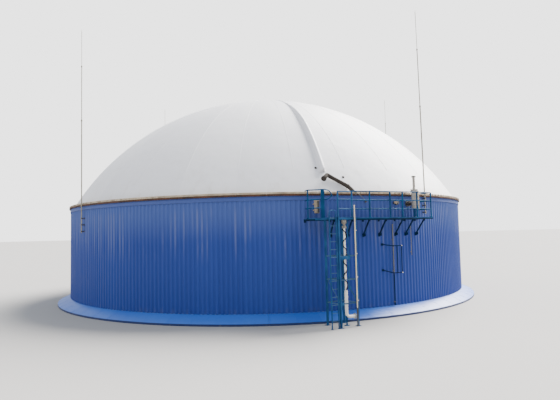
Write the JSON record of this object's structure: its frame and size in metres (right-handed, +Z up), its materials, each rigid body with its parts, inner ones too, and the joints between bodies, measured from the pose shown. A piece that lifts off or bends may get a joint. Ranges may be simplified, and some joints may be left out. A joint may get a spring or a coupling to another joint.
{
  "type": "biogas storage tank",
  "caption": "Round steel-clad biogas storage tank with a ribbed wall, membrane dome roof, side platform with ladder tower, safety valve, gas and air pipes and lightning masts.",
  "frame": {"origin": "centre of the raft's underside, on the tank's axis at ground level", "axes": "+Z up along the tank's axis; -Y is the front that the picture shows; +X is to its right"},
  "size_m": [25.3, 26.4405, 14.4302],
  "materials": {
    "foundation_concrete": "weathered concrete",
    "cladding_blue": "faded blue paint on ribbed sheet",
    "platform_paint": "worn teal-blue gloss paint",
    "rusty_steel": "rusted bare steel",
    "clamp_steel": "dull grey-beige coated steel",
    "dome_membrane": "light grey coated polyester membrane",
    "hose_rubber": "dark grey rubber with dust",
    "galvanised_steel": "dull galvanised steel",
    "box_beige": "beige powder coat",
    "pipe_white": "white insulation jacket",
    "pipe_cream": "cream paint"
  },
  "bodies": {
    "root": {"air_pipe": "hose_rubber", "air_sleeve": "dome_membrane", "base_skirt_1": "cladding_blue", "base_skirt_2": "cladding_blue", "base_skirt_3": "cladding_blue", "base_skirt_4": "cladding_blue", "cap_flashing": "cladding_blue", "clamp_rail": "clamp_steel", "conduit": "galvanised_steel", "control_box": "box_beige", "cream_pipe": "pipe_cream", "dome_crown": "dome_membrane", "dome_gore_1": "dome_membrane", "dome_gore_2": "dome_membrane", "dome_gore_3": "dome_membrane", "dome_gore_4": "dome_membrane", "dome_gore_5": "dome_membrane", "dome_gore_6": "dome_membrane", "drain_line": "galvanised_steel", "foundation_slab": "foundation_concrete", "gas_riser": "pipe_white", "ladder": "platform_paint", "mast_front_left": "galvanised_steel", "mast_front_right": "galvanised_steel", "mast_rear_left": "galvanised_steel", "mast_rear_right": "galvanised_steel", "platform_deck": "platform_paint", "platform_frame": "platform_paint", "railing_front": "platform_paint", "railing_landing": "platform_paint", "railing_left": "platform_paint", "rim_angle": "rusty_steel", "safety_valve": "galvanised_steel", "sense_line": "galvanised_steel", "standoff_frame": "platform_paint", "tower_front_side": "platform_paint", "tower_landing": "platform_paint", "tower_left_bracing": "platform_paint", "tower_rear_side": "platform_paint", "tower_right_bracing": "platform_paint", "valve_stack": "galvanised_steel", "wall_instrument": "galvanised_steel", "wall_segment_1": "cladding_blue", "wall_segment_2": "cladding_blue", "wall_segment_3": "cladding_blue", "wall_segment_4": "cladding_blue", "wall_segment_5": "cladding_blue", "wall_segment_6": "cladding_blue", "wall_segment_7": "cladding_blue", "wall_segment_8": "cladding_blue"}
  },
  "joints": []
}
